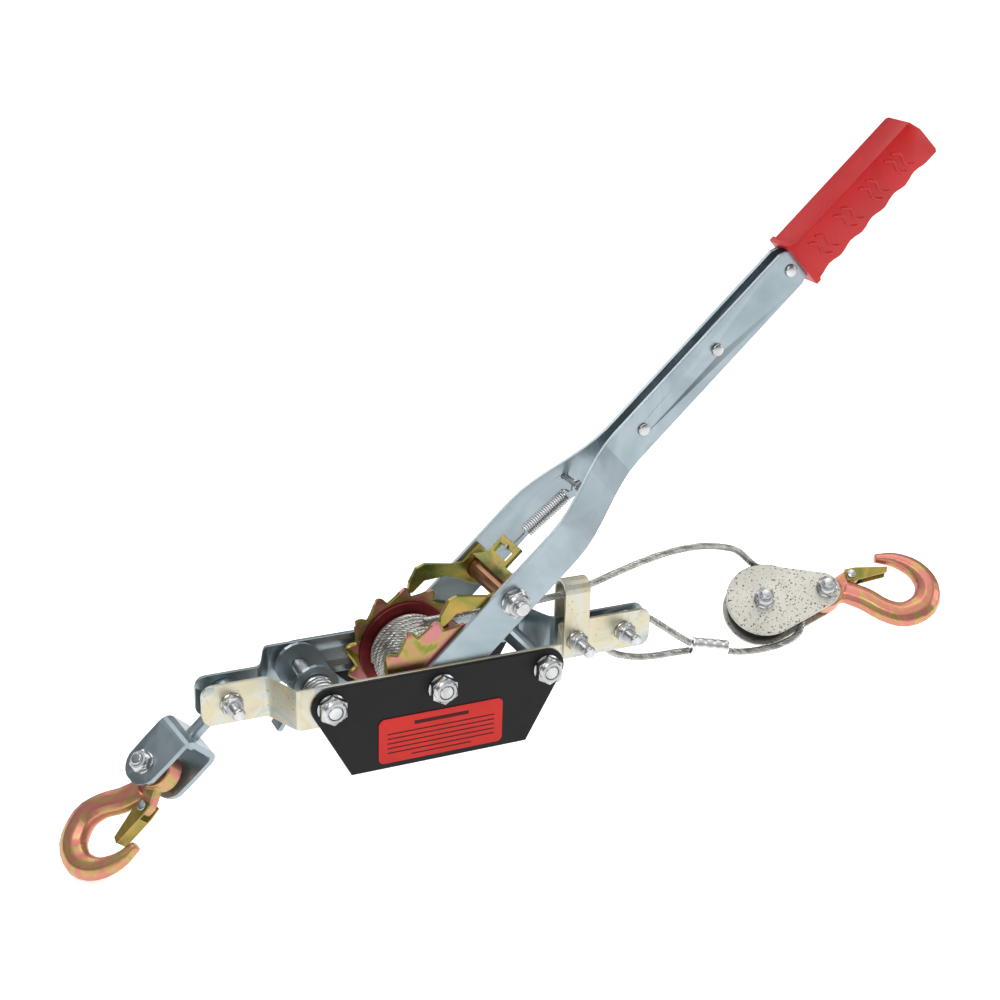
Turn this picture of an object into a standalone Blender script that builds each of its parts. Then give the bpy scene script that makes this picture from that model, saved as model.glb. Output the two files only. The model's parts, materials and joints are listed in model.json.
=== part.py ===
"""Hand cable puller (come-along winch): ratchet winch frame, lever, wire rope, pulley block and hooks.

Axes: X runs along the line of pull towards the pulley block, Y is the axle direction, Z is up on the
lever side.  All driving dimensions are in millimetres; new_object() scales the meshes to metres.
"""

import bmesh
import bpy
from math import asin, atan2, ceil, cos, degrees, pi, radians, sin
from mathutils import Euler, Matrix, Vector

MM = 0.001
GAP = 0.3                      # clearance between touching pieces

# ---- placing of the whole winch ------------------------------------------------------------------
BASE_X = -72.0                 # place of the drum axle from the bottom centre of the object
BASE_Y = 10.7
BASE_Z = 103.98                 # height of the drum axle above the lowest point

# ---- frame ---------------------------------------------------------------------------------------
BOLT_PITCH = 75.0              # drum axle to the left and right frame bolts
STRAP_HALF = 13.8              # half height of the side straps
STRAP_T = 2.6
STRAP_IN = 32.9                # inner face of a strap, from the middle plane
LEFT_END_X = -131.0            # hook shank bolt
LEFT_IN = 6.2                  # inner face of the joggled left end
LEFT_TIP_X = -150.0
LEFT_BEND = (-109.0, -94.0)
RIGHT_END_X = 150.0            # rope eye bolt
CLIP_X = 112.0
RIGHT_IN = 3.8
RIGHT_TIP_X = 170.5
RIGHT_BEND = (86.0, 101.5)
GUARD_IN = 35.8
GUARD_T = 1.8
GUARD_TOP = 13.2
GUARD_BOTTOM = -51.6
GUARD_BOTTOM_HALF = 61.5
GUARD_CORNER_R = 13.0
LABEL_HALF = 43.5
LABEL_TOP = -15.5
LABEL_BOTTOM = -47.5
LABEL_T = 0.4
TUBE_R = 6.2

# ---- fasteners -----------------------------------------------------------------------------------
M10_R = 5.0
M10_FLATS = 17.0
M10_NUT_H = 8.2
M8_R = 4.0
M8_FLATS = 13.0
M8_NUT_H = 6.6
HEAD_H = 6.0
FRAME_BOLT_END = 46.3

# ---- drum and ratchet wheels ---------------------------------------------------------------------
TEETH = 13
WHEEL_TIP_R = 42.5
WHEEL_ROOT_R = 35.5
WHEEL_IN = 26.0
WHEEL_T = 3.0
TOOTH_PHASE = 91.0             # angle of one tooth tip above +X
CORE_R = 11.0
FLANGE_R = 33.0
FLANGE_T = 2.0
WINDING_R = 27.0

# ---- lever ---------------------------------------------------------------------------------------
LEVER_ANGLE = 43.3             # above +X
BAR_HALF = 14.3
BAR_T = 3.0
BAR_IN = 29.5
BAR_TOP_IN = 4.0
BAR_BEND = (120.0, 198.0)
BAR_END = 470.0
BAR_TONGUE_START = 366.0
BAR_TONGUE_HALF = 12.0
RIVETS = (214.0, 286.5, 359.0)
RIVET_R = 3.2
PAWL_BOLT = 72.0
SPRING_PIN = (157.0, 4.5)
GRIP_START = 366.0
GRIP_LENGTH = 122.0
GRIP_HALF_Y = 12.2
GRIP_TOP = 14.6
GRIP_BOTTOM = -18.0
FINGER_SCALLOPS = 5
SCALLOP_DEPTH = 2.2

# ---- pawls ---------------------------------------------------------------------------------------
PAWL_IN = 26.0
PAWL_T = 3.0
PAWL_BUSH_R = 7.0
PAWL_TAB_HALF = 14.0
SPRING_R = 5.0
SPRING_WIRE = 1.5
STOP_EAR_R = 15.5
STOP_FAR_IN = 25.8
STOP_NEAR_IN = 6.5
STOP_COIL_R = 10.4
STOP_COIL_WIRE = 2.4

# ---- hook chain on the left ----------------------------------------------------------------------
SHANK_DROP = 43.5              # angle of the shank below -X
SHANK_R = 4.6
SWIVEL_TURN = 22.0             # clevis turned about the shank
CLEVIS_BOLT = 62.5             # shank bolt to clevis bolt
CLEVIS_REACH = 31.0            # clevis bolt to the outside of the clevis web
CLEVIS_IN = 13.0
CLEVIS_T = 4.0
CLEVIS_HALF = 14.0
ANCHOR_HOOK_TURN = 9.0

# ---- pulley block on the right -------------------------------------------------------------------
BLOCK_AT = (262.0, -8.0, 1.0)
BLOCK_YAW = -16.2
BLOCK_PITCH = 8.9
BLOCK_ROLL = 48.0
BLOCK_BOLT = 46.0              # sheave bolt to hook bolt
BLOCK_IN = 8.6
BLOCK_T = 2.4
BLOCK_R = 27.0
BLOCK_SMALL_R = 13.0
SHEAVE_R = 24.0
GROOVE_R = 19.0
SHEAVE_HALF = 8.0

# ---- hooks ---------------------------------------------------------------------------------------
EYE_R = 12.5
EYE_HALF = 6.5
HOOK_LINE = (                  # centre line x, y, half width, half thickness, from the eye to the tip
    (15.0, -1.0, 8.5, 5.6),
    (28.0, -9.5, 8.8, 6.4),
    (39.5, -20.5, 8.6, 6.8),
    (53.0, -26.5, 9.4, 7.2),
    (68.5, -21.8, 9.8, 7.4),
    (75.0, -8.5, 8.8, 7.2),
    (70.0, 6.0, 7.2, 6.4),
    (57.5, 16.0, 5.2, 5.4),
    (44.0, 19.8, 3.0, 4.0))
LATCH_PIVOT = (22.5, 9.4)
LATCH_REACH = 27.5

# ---- wire rope -----------------------------------------------------------------------------------
ROPE_R = 2.5
FERRULE_AT = (214.5, -16.0, -20.2)
FERRULE_AXIS = (27.0, -4.0, -5.6)
FERRULE_LENGTH = 28.0
FERRULE_HALF = (4.6, 6.6)      # half depth, half height
ROPE_EXIT = (2.0, 0.0, 30.0)
RUN_TO_BLOCK = (               # from the top of the drum through the clip to the block
    ROPE_EXIT, (30.0, 0.0, 30.2), (60.0, 0.0, 30.6), (88.0, 0.0, 31.2), (112.0, 0.0, 33.2),
    (133.0, 0.0, 38.6), (152.0, 0.0, 43.8), (171.5, 0.2, 48.2), (191.0, 0.8, 50.8),
    (213.5, 2.4, 50.2), (235.0, 6.0, 44.8), (250.0, 10.0, 37.6))
ROUND_BLOCK = (                # across the plane of the sheave: along the block, across the block
    (4.0, 30.2), (17.2, 25.6), (25.6, 15.2), (29.4, 0.0), (26.4, -13.4), (19.5, -26.2), (4.5, -31.6))
RUN_TO_FERRULE = ((250.5, -28.4, -22.6), (239.5, -22.0, -25.4))
EYE_ROUTE = (                  # the closed loop round the eye bolt, both ends in the ferrule
    (200.4, -14.0, -15.2), (192.5, -10.8, -10.2), (183.5, -6.0, -4.0), (173.0, -0.9, 3.0), (162.5, 0.0, 7.6),
    (151.0, 0.0, 9.4), (140.0, 0.0, 4.6), (136.4, 0.0, -6.5), (143.5, -0.4, -17.6), (158.0, -1.8, -23.6),
    (173.0, -5.4, -24.6), (187.0, -10.2, -22.4), (199.4, -13.9, -20.9))


# ================================================================================================
# helpers
# ================================================================================================

def clear_scene():
    for obj in list(bpy.data.objects):
        bpy.data.objects.remove(obj)


def make_material(name, colour, roughness, metallic):
    material = bpy.data.materials.new(name)
    material.use_nodes = True
    shader = material.node_tree.nodes["Principled BSDF"]
    shader.inputs["Base Color"].default_value = (*colour, 1.0)
    shader.inputs["Roughness"].default_value = roughness
    shader.inputs["Metallic"].default_value = metallic
    return material


def new_empty(name, parent, location=(0, 0, 0), axes=None):
    """An empty for a moving body: its origin lies on the joint's axis."""
    empty = bpy.data.objects.new(name, None)
    bpy.context.collection.objects.link(empty)
    empty.empty_display_size = 0.02
    empty.parent = parent
    turn = Matrix(axes).transposed() if axes else Matrix.Identity(3)
    empty.location = Vector(location) * MM
    empty.rotation_euler = turn.to_euler()
    return empty


def new_object(name, bm, material, parent, offset=(0, 0, 0), turn=None):
    """Scale a bmesh in millimetres to metres and hang it under its body's empty."""
    bmesh.ops.recalc_face_normals(bm, faces=bm.faces)
    bmesh.ops.scale(bm, vec=(MM, MM, MM), verts=bm.verts)
    mesh = bpy.data.meshes.new(name)
    bm.to_mesh(mesh)
    bm.free()
    mesh.materials.append(material)
    mesh.shade_smooth()
    mesh.set_sharp_from_angle(angle=radians(32))
    obj = bpy.data.objects.new(name, mesh)
    bpy.context.collection.objects.link(obj)
    obj.parent = parent
    obj.location = Vector(offset) * MM
    if turn:
        obj.rotation_euler = turn
    return obj


def add_boolean(obj, other, operation):
    """Join another shape to an object, or cut it away; the other shape stays as a hidden guide."""
    other.hide_render = True
    other.display_type = 'WIRE'
    modifier = obj.modifiers.new(operation.title(), 'BOOLEAN')
    modifier.operation = operation
    modifier.object = other


def arc(centre, radius, start, end, steps):
    """Points on an arc, angles in degrees, both ends included."""
    return [(centre[0] + radius * cos(radians(start + (end - start) * i / steps)),
             centre[1] + radius * sin(radians(start + (end - start) * i / steps)))
            for i in range(steps + 1)]


def circle(centre, radius, sides):
    return arc(centre, radius, 0.0, 360.0 * (sides - 1) / sides, sides - 1)


def plate(outline, holes, low, high, axis='Y'):
    """A flat plate: outline and round holes (x, z, radius) in XZ (or XY), thick along Y (or Z)."""
    bm = bmesh.new()
    edges = []
    loops = [outline] + [circle((hole[0], hole[1]), hole[2], 16) for hole in holes]
    for loop in loops:
        verts = [bm.verts.new((p[0], low, p[1]) if axis == 'Y' else (p[0], p[1], low)) for p in loop]
        edges += [bm.edges.new((verts[i], verts[(i + 1) % len(verts)])) for i in range(len(verts))]
    bmesh.ops.triangle_fill(bm, edges=edges, use_beauty=True)
    result = bmesh.ops.extrude_face_region(bm, geom=bm.faces[:])
    moved = [item for item in result["geom"] if isinstance(item, bmesh.types.BMVert)]
    thickness = Vector((0, high - low, 0) if axis == 'Y' else (0, 0, high - low))
    bmesh.ops.translate(bm, vec=thickness, verts=moved)
    return bm


def bend_plate(bm, bends, shift):
    """Cut a plate across X at each bend, then push it along Y by shift(x)."""
    for x in bends:
        bmesh.ops.bisect_plane(bm, geom=bm.verts[:] + bm.edges[:] + bm.faces[:],
                               plane_co=(x, 0, 0), plane_no=(1, 0, 0), dist=0.0001)
    for vert in bm.verts:
        vert.co.y += shift(vert.co.x)


def ramp(x, start, end):
    """0 before start, 1 after end, with eased corners."""
    t = min(max((x - start) / (end - start), 0.0), 1.0)
    return t * t * (3 - 2 * t)


def steps_between(start, end, count):
    return [start + (end - start) * i / count for i in range(count + 1)]


def hex_radius(angle, flats):
    """Distance from the centre of a hexagon to its side, in the direction of angle."""
    return flats / 2 / cos((angle + pi / 6) % (pi / 3) - pi / 6)


def stack(rings, sides, ring_shaped=False):
    """Skin a stack of rings (height, size, 'round' or 'hex') about Y, capped or closed on itself."""
    bm = bmesh.new()
    loops = []
    for height, size, shape in rings:
        loop = []
        for i in range(sides):
            angle = 2 * pi * i / sides
            r = size if shape == 'round' else hex_radius(angle, size)
            loop.append(bm.verts.new((r * cos(angle), height, r * sin(angle))))
        loops.append(loop)
    pairs = list(zip(loops, loops[1:]))
    if ring_shaped:
        pairs.append((loops[-1], loops[0]))
    for a, b in pairs:
        for i in range(sides):
            j = (i + 1) % sides
            bm.faces.new((a[i], a[j], b[j], b[i]))
    if not ring_shaped:
        bm.faces.new(loops[0])
        bm.faces.new(loops[-1])
    return bm


def tube(inner, outer, low, high, sides=24):
    return stack([(low, inner, 'round'), (low, outer, 'round'), (high, outer, 'round'),
                  (high, inner, 'round')], sides, ring_shaped=True)


def bolt(shank_r, flats, head_face, end, head_h=HEAD_H):
    """A hexagon bolt along Y: the underside of its head at head_face, its point at end."""
    away = 1 if head_face > end else -1
    return stack([(head_face + away * head_h, flats * 0.46, 'round'),
                  (head_face + away * (head_h - 0.8), flats, 'hex'),
                  (head_face, flats, 'hex'), (head_face, shank_r, 'round'),
                  (end + away * 0.8, shank_r, 'round'), (end, shank_r - 0.8, 'round')], 12)


def nut(shank_r, flats, face, height):
    """A hexagon locking nut along Y, sitting on face and reaching height (signed) beyond it."""
    crown = shank_r + (flats / 2 - shank_r) * 0.55
    return stack([(face, shank_r + GAP, 'round'), (face, flats, 'hex'), (face + height * 0.72, flats, 'hex'),
                  (face + height * 0.8, flats * 0.48, 'round'), (face + height, crown, 'round'),
                  (face + height, shank_r + GAP, 'round')], 12, ring_shaped=True)


def slot_outline(x0, x1, half, corner):
    """A long strip's outline in XZ with rounded corners."""
    points = []
    for cx, cz, start in ((x1, half, 90.0), (x1, -half, 0.0), (x0, -half, -90.0), (x0, half, -180.0)):
        inward_x = cx - corner if cx == x1 else cx + corner
        inward_z = cz - corner if cz > 0 else cz + corner
        points += arc((inward_x, inward_z), corner, start, start - 90.0, 5)
    return points


def smooth_route(points, spacing):
    """Points every spacing millimetres along a smooth curve through the given route."""
    route = [Vector(p) for p in points]
    ends = [route[0] * 2 - route[1]] + route + [route[-1] * 2 - route[-2]]
    dense = []
    for i in range(1, len(ends) - 2):
        p0, p1, p2, p3 = ends[i - 1:i + 3]
        for k in range(24):
            t = k / 24
            dense.append(0.5 * ((2 * p1) + (p2 - p0) * t + (2 * p0 - 5 * p1 + 4 * p2 - p3) * t * t
                                + (3 * p1 - p0 - 3 * p2 + p3) * t ** 3))
    dense.append(route[-1])
    total = sum((b - a).length for a, b in zip(dense, dense[1:]))
    count = max(2, ceil(total / spacing))
    result, travelled, step = [dense[0]], 0.0, total / count
    for a, b in zip(dense, dense[1:]):
        length = (b - a).length
        while length and travelled + length >= step * len(result) and len(result) < count:
            result.append(a.lerp(b, (step * len(result) - travelled) / length))
        travelled += length
    return result + [dense[-1]]


def rope_curve(name, points, material, parent):
    """A plain round tube along a route."""
    curve = bpy.data.curves.new(name, 'CURVE')
    curve.dimensions = '3D'
    curve.bevel_depth = ROPE_R * MM
    curve.bevel_resolution = 2
    curve.use_fill_caps = True
    spline = curve.splines.new('POLY')
    spline.points.add(len(points) - 1)
    for target, point in zip(spline.points, points):
        target.co = (*(Vector(point) * MM), 1.0)
    curve.materials.append(material)
    obj = bpy.data.objects.new(name, curve)
    bpy.context.collection.objects.link(obj)
    obj.parent = parent
    return obj


# ================================================================================================
# frame
# ================================================================================================

def strap_shift(x):
    """How far a strap is set in towards the middle plane at x."""
    left = (STRAP_IN - LEFT_IN) * ramp(-x, -LEFT_BEND[1], -LEFT_BEND[0])
    right = (STRAP_IN - RIGHT_IN) * ramp(x, *RIGHT_BEND)
    return left + right


def side_strap(name, side, material, parent):
    holes = [(x, 0.0, M10_R + GAP) for x in (-BOLT_PITCH, 0.0, BOLT_PITCH)]
    holes += [(x, 0.0, M8_R + GAP) for x in (CLIP_X, RIGHT_END_X)]
    holes.append((LEFT_END_X, 0.0, M8_R + GAP))
    outline = slot_outline(LEFT_TIP_X, RIGHT_TIP_X, STRAP_HALF, 7.0)
    low, high = sorted((side * STRAP_IN, side * (STRAP_IN + STRAP_T)))
    bm = plate(outline, holes, low, high)
    cuts = steps_between(*LEFT_BEND, 6) + steps_between(*RIGHT_BEND, 6)
    bend_plate(bm, cuts, lambda x: -side * strap_shift(x))
    return new_object(name, bm, material, parent)


def guard(name, side, material, parent):
    corner_x = BOLT_PITCH
    outline = [(-GUARD_BOTTOM_HALF, GUARD_BOTTOM), (GUARD_BOTTOM_HALF, GUARD_BOTTOM)]
    outline += arc((corner_x, GUARD_TOP - GUARD_CORNER_R), GUARD_CORNER_R, -22.0, 90.0, 8)
    outline += arc((-corner_x, GUARD_TOP - GUARD_CORNER_R), GUARD_CORNER_R, 90.0, 202.0, 8)
    holes = [(x, 0.0, M10_R + GAP) for x in (-BOLT_PITCH, 0.0, BOLT_PITCH)]
    low, high = sorted((side * GUARD_IN, side * (GUARD_IN + GUARD_T)))
    return new_object(name, plate(outline, holes, low, high), material, parent)


def label(material, parent):
    face = -(GUARD_IN + GUARD_T + GAP)
    middle = (LABEL_TOP + LABEL_BOTTOM) / 2
    outline = [(x, z + middle) for x, z in
               slot_outline(-LABEL_HALF, LABEL_HALF, (LABEL_TOP - LABEL_BOTTOM) / 2, 4.0)]
    return new_object("label", plate(outline, [], face - LABEL_T, face), material, parent)


def rope_clip(material, parent):
    """A strap bent over the rope, its legs on the outside of the two straps."""
    inner = RIGHT_IN + STRAP_T + GAP
    top_z, leg_end, t = 35.2, -11.0, 1.8
    outer = inner + t
    section = [(-inner, leg_end), (-outer, leg_end), (-outer, top_z)]
    section += arc((0.0, top_z), outer, 180.0, 0.0, 8)[1:-1]
    section += [(outer, top_z), (outer, leg_end), (inner, leg_end), (inner, top_z)]
    section += arc((0.0, top_z), inner, 0.0, 180.0, 8)[1:-1] + [(-inner, top_z)]
    bm = plate(section, [], CLIP_X - 9.5, CLIP_X + 9.5)
    clip = new_object("rope_clip", bm, material, parent, turn=Euler((0, 0, -pi / 2)))
    bore = new_object("clip_bore", tube_cutter(M8_R + GAP, 20.0), material, parent, offset=(CLIP_X, 0, 0))
    add_boolean(clip, bore, 'DIFFERENCE')
    return clip


def tube_cutter(radius, half_length):
    return stack([(-half_length, radius, 'round'), (half_length, radius, 'round')], 24)


def build_frame(materials, root):
    zinc, black, steel = materials["zinc"], materials["black_paint"], materials["bright_steel"]
    for side, suffix in ((-1, "near"), (1, "far")):
        side_strap(f"side_strap_{suffix}", side, zinc, root)
        guard(f"guard_{suffix}", side, black, root)
    label(materials["label_film"], root)
    face = GUARD_IN + GUARD_T + GAP
    for x, where in ((-BOLT_PITCH, "left"), (0.0, "axle"), (BOLT_PITCH, "right")):
        long_bolt = bolt(M10_R, M10_FLATS, face, -FRAME_BOLT_END)
        new_object(f"frame_bolt_{where}", long_bolt, steel, root, (x, 0, 0))
        new_object(f"frame_nut_{where}", nut(M10_R, M10_FLATS, -face, -M10_NUT_H), steel, root, (x, 0, 0))
    new_object("spacer_tube", tube(M10_R + GAP, TUBE_R, -STRAP_IN + GAP, STRAP_IN - GAP, 16), zinc, root,
               (BOLT_PITCH, 0, 0))
    ends = (("shank_bolt", "shank_nut", LEFT_END_X, LEFT_IN + STRAP_T + GAP, 27.0),
            ("clip_bolt", "clip_nut", CLIP_X, RIGHT_IN + STRAP_T + 2 * GAP + 1.8, 30.0),
            ("eye_bolt", "eye_nut", RIGHT_END_X, RIGHT_IN + STRAP_T + GAP, 25.0))
    for bolt_name, nut_name, x, seat, end in ends:
        new_object(bolt_name, bolt(M8_R, M8_FLATS, seat, -end), steel, root, (x, 0, 0))
        new_object(nut_name, nut(M8_R, M8_FLATS, -seat, -M8_NUT_H), steel, root, (x, 0, 0))
    rope_clip(materials["yellow_zinc"], root)
    coil_end = -STOP_NEAR_IN - PAWL_T - GAP
    new_object("stop_pawl_spring",
               tube(STOP_COIL_R - STOP_COIL_WIRE, STOP_COIL_R, -STRAP_IN + GAP, coil_end, 16), steel, root,
               (-BOLT_PITCH, 0, 0))


# ================================================================================================
# drum and ratchet wheels
# ================================================================================================

def wheel_outline():
    pitch = 360.0 / TEETH
    tooth = ((0.0, WHEEL_TIP_R), (2.6, WHEEL_TIP_R - 0.8), (6.5, WHEEL_ROOT_R), (12.0, WHEEL_ROOT_R + 0.6),
             (19.0, WHEEL_ROOT_R + 2.6))
    points = []
    for k in range(TEETH):
        for lag, r in tooth:
            angle = radians(TOOTH_PHASE - k * pitch - lag)
            points.append((r * cos(angle), r * sin(angle)))
    return points


def build_drum(materials, drum):
    iridescent = materials["yellow_zinc"]
    bore = M10_R + GAP
    for side, suffix in ((-1, "near"), (1, "far")):
        low, high = sorted((side * WHEEL_IN, side * (WHEEL_IN + WHEEL_T)))
        new_object(f"ratchet_wheel_{suffix}", plate(wheel_outline(), [(0, 0, bore)], low, high),
                   iridescent, drum)
    inner_end = WHEEL_IN - GAP
    new_object("drum_core", tube(bore, CORE_R, -inner_end, inner_end), materials["drum_red"], drum)
    flange_out = inner_end
    new_object("drum_flange", tube(CORE_R + GAP, FLANGE_R, flange_out - FLANGE_T, flange_out, 32),
               materials["drum_red"], drum)
    new_object("rope_winding",
               tube(CORE_R + GAP, WINDING_R, -inner_end, flange_out - FLANGE_T - GAP, 32),
               materials["wire_rope"], drum)


# ================================================================================================
# lever
# ================================================================================================

def lever_bar(name, side, material, parent):
    outline = arc((0.0, 0.0), BAR_HALF, 90.0, 270.0, 10)
    outline += [(BAR_TONGUE_START - 6.0, -BAR_HALF), (BAR_TONGUE_START, -BAR_TONGUE_HALF),
                (BAR_END, -BAR_TONGUE_HALF), (BAR_END, BAR_TONGUE_HALF),
                (BAR_TONGUE_START, BAR_TONGUE_HALF), (BAR_TONGUE_START - 6.0, BAR_HALF)]
    holes = [(0.0, 0.0, M10_R + GAP), (PAWL_BOLT, 0.0, M10_R + GAP)]
    holes += [(s, 0.0, RIVET_R + GAP) for s in RIVETS]
    if side > 0:
        holes.append((*SPRING_PIN, 2.0 + GAP))
    low, high = sorted((side * BAR_IN, side * (BAR_IN + BAR_T)))
    bm = plate(outline, holes, low, high)
    bend_plate(bm, steps_between(*BAR_BEND, 8),
               lambda s: -side * (BAR_IN - BAR_TOP_IN) * ramp(s, *BAR_BEND))
    return new_object(name, bm, material, parent)


def grip_outline():
    """Side view of the grip: straight back, finger scallops and a lip at the open end."""
    end = GRIP_START + GRIP_LENGTH
    lip = 4.0
    points = [(GRIP_START, GRIP_BOTTOM - 2.0), (GRIP_START + lip, GRIP_BOTTOM - 2.0)]
    scallop = (GRIP_LENGTH - lip - 12.0) / FINGER_SCALLOPS
    for k in range(FINGER_SCALLOPS * 6 + 1):
        x = GRIP_START + lip + scallop * k / 6
        points.append((x + 1.0, GRIP_BOTTOM + SCALLOP_DEPTH / 2 * (1 - cos(2 * pi * k / 6))))
    points += [(end - 1.0, GRIP_BOTTOM), (end, GRIP_BOTTOM + 2.5), (end - 1.5, 4.0),
               (end - 5.0, GRIP_TOP - 1.0), (end - 7.0, GRIP_TOP), (GRIP_START + lip, GRIP_TOP),
               (GRIP_START + lip, GRIP_TOP + 2.0), (GRIP_START, GRIP_TOP + 2.0)]
    return points


def grip(material, parent):
    body = new_object("handle_grip", plate(grip_outline(), [], -GRIP_HALF_Y, GRIP_HALF_Y), material, parent)
    bevel = body.modifiers.new("Soft edges", 'BEVEL')
    bevel.width = 2.0 * MM
    bevel.segments = 2
    bevel.limit_method = 'ANGLE'
    bevel.angle_limit = radians(50)
    half_y = BAR_TOP_IN + BAR_T + GAP
    half_z = BAR_TONGUE_HALF + GAP
    pocket_end = BAR_END + 2.0
    pocket = [(GRIP_START - 5.0, -half_z), (pocket_end, -half_z), (pocket_end, half_z),
              (GRIP_START - 5.0, half_z)]
    cutter = new_object("grip_pocket", plate(pocket, [], -half_y, half_y), material, parent)
    add_boolean(body, cutter, 'DIFFERENCE')
    return body


def build_lever(materials, lever):
    zinc, steel = materials["zinc"], materials["bright_steel"]
    lever_bar("handle_bar_near", -1, zinc, lever)
    lever_bar("handle_bar_far", 1, zinc, lever)
    outer = BAR_TOP_IN + BAR_T + GAP
    for k, s in enumerate(RIVETS, start=1):
        rings = [(-outer - 1.8, RIVET_R * 0.8, 'round'), (-outer - 1.2, RIVET_R + 1.0, 'round'),
                 (-outer, RIVET_R + 1.2, 'round'), (-outer, RIVET_R, 'round'), (outer, RIVET_R, 'round'),
                 (outer, RIVET_R + 1.2, 'round'), (outer + 1.2, RIVET_R + 1.0, 'round'),
                 (outer + 1.8, RIVET_R * 0.8, 'round')]
        new_object(f"handle_rivet_{k}", stack(rings, 16), steel, lever, (s, 0, 0))
    face = BAR_IN + BAR_T + GAP
    new_object("pawl_bolt", bolt(M10_R, M10_FLATS, face, -FRAME_BOLT_END), steel, lever, (PAWL_BOLT, 0, 0))
    new_object("pawl_nut", nut(M10_R, M10_FLATS, -face, -M10_NUT_H), steel, lever, (PAWL_BOLT, 0, 0))
    pin_y = BAR_IN - (BAR_IN - BAR_TOP_IN) * ramp(SPRING_PIN[0], *BAR_BEND)
    rings = [(pin_y + BAR_T + 2.6, 3.2, 'round'), (pin_y + BAR_T + 1.6, 3.2, 'round'),
             (pin_y + BAR_T + 1.6, 2.0, 'round'), (-3.6, 2.0, 'round'), (-3.6, 3.4, 'round'),
             (-4.8, 3.4, 'round')]
    new_object("spring_pin", stack(rings, 16), steel, lever, (SPRING_PIN[0], 0, SPRING_PIN[1]))
    grip(materials["red_plastic"], lever)


# ================================================================================================
# pawls
# ================================================================================================

def drive_pawl_arm_outline():
    """One cheek of the drive pawl in the lever's axes, from its pivot; the nose points at the drum."""
    nose = [(-43.0, 28.0), (-43.1, 25.8), (-41.6, 24.6), (-38.8, 24.4), (-30.6, 24.2), (-18.3, 14.0),
            (-13.4, 4.5)]
    hub = arc((0.0, 0.0), 11.5, 200.0, 350.0, 8)
    back = [(13.0, 4.0), (13.0, 12.0), (-3.0, 12.0), (-9.0, 15.5), (-22.4, 33.0), (-28.1, 35.4),
            (-38.5, 31.8)]
    return nose + hub + back


def build_drive_pawl(materials, pawl):
    gold = materials["yellow_zinc"]
    bore = PAWL_BUSH_R + GAP
    cheek = plate(drive_pawl_arm_outline(), [(0, 0, bore)], -PAWL_IN - PAWL_T, -PAWL_IN)
    body = new_object("drive_pawl", cheek, gold, pawl)
    far_cheek = plate(drive_pawl_arm_outline(), [(0, 0, bore)], PAWL_IN, PAWL_IN + PAWL_T)
    add_boolean(body, new_object("pawl_far_cheek", far_cheek, gold, pawl), 'UNION')
    half, tab = PAWL_IN + 1.0, PAWL_TAB_HALF
    web_outline = [(4.5, -half), (12.5, -half), (12.5, -tab), (28.0, -tab), (28.0, tab), (12.5, tab),
                   (12.5, half), (4.5, half)]
    web = plate(web_outline, [], 9.4, 11.6, axis='Z')
    add_boolean(body, new_object("pawl_web", web, gold, pawl), 'UNION')
    slot = plate([(15.5, -9.5), (22.5, -9.5), (22.5, 9.5), (15.5, 9.5)], [], 5.0, 15.0, axis='Z')
    add_boolean(body, new_object("pawl_slot", slot, gold, pawl), 'DIFFERENCE')
    bush_end = BAR_IN - GAP
    new_object("drive_pawl_bush", tube(M10_R + GAP, PAWL_BUSH_R, -bush_end, bush_end, 16),
               materials["drum_red"], pawl)


def build_pawl_spring(materials, swing):
    """The return spring as a plain tube round its wire's outer shape, hung from the spring pin."""
    outer, inner = SPRING_R, SPRING_R - SPRING_WIRE
    new_object("pawl_spring", tube(inner, outer, 9.0, 46.0, 14), materials["bright_steel"], swing,
               turn=Euler((0, 0, -pi / 2)))


def stop_pawl_far_outline():
    return arc((0.0, 0.0), STOP_EAR_R, 20.0, 230.0, 12) + [(4.0, -16.0), (20.0, -24.5), (34.0, -23.8),
                                                           (35.6, -20.6), (24.0, -10.0)]


def build_stop_pawl(materials, pawl):
    zinc = materials["zinc"]
    bore = M10_R + GAP
    far = plate(stop_pawl_far_outline(), [(0, 0, bore)], STOP_FAR_IN, STOP_FAR_IN + PAWL_T)
    body = new_object("stop_pawl", far, zinc, pawl)
    near_outline = arc((0.0, 0.0), STOP_EAR_R, 0.0, 285.0, 16) + [(15.0, -13.0)]
    near = plate(near_outline, [(0, 0, bore)], -STOP_NEAR_IN - PAWL_T, -STOP_NEAR_IN)
    add_boolean(body, new_object("stop_near_ear", near, zinc, pawl), 'UNION')
    web = plate([(-8.5, -13.2), (3.5, -14.6), (14.0, -14.6), (14.0, -12.0), (3.5, -12.0), (-7.0, -10.6)], [],
                -STOP_NEAR_IN - 1.0, STOP_FAR_IN + 1.0)
    add_boolean(body, new_object("stop_web", web, zinc, pawl), 'UNION')
    tail = plate([(-9.0, -12.6), (-6.0, -11.4), (-20.0, -33.0), (-23.0, -32.0)], [], 2.0, 16.0)
    add_boolean(body, new_object("stop_tail", tail, zinc, pawl), 'UNION')


# ================================================================================================
# hooks, clevis and pulley block
# ================================================================================================

def hook_sections(points_per_span):
    """The hook's centre line with its half width and half thickness, smoothed through HOOK_LINE."""
    rows = []
    keys = [HOOK_LINE[0]] + list(HOOK_LINE) + [HOOK_LINE[-1]]
    for i in range(1, len(keys) - 2):
        for k in range(points_per_span):
            t = k / points_per_span
            row = []
            for p0, p1, p2, p3 in zip(*keys[i - 1:i + 3]):
                row.append(0.5 * (2 * p1 + (p2 - p0) * t + (2 * p0 - 5 * p1 + 4 * p2 - p3) * t * t
                                  + (3 * p1 - p0 - 3 * p2 + p3) * t ** 3))
            rows.append(row)
    rows.append(list(HOOK_LINE[-1]))
    return rows


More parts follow.
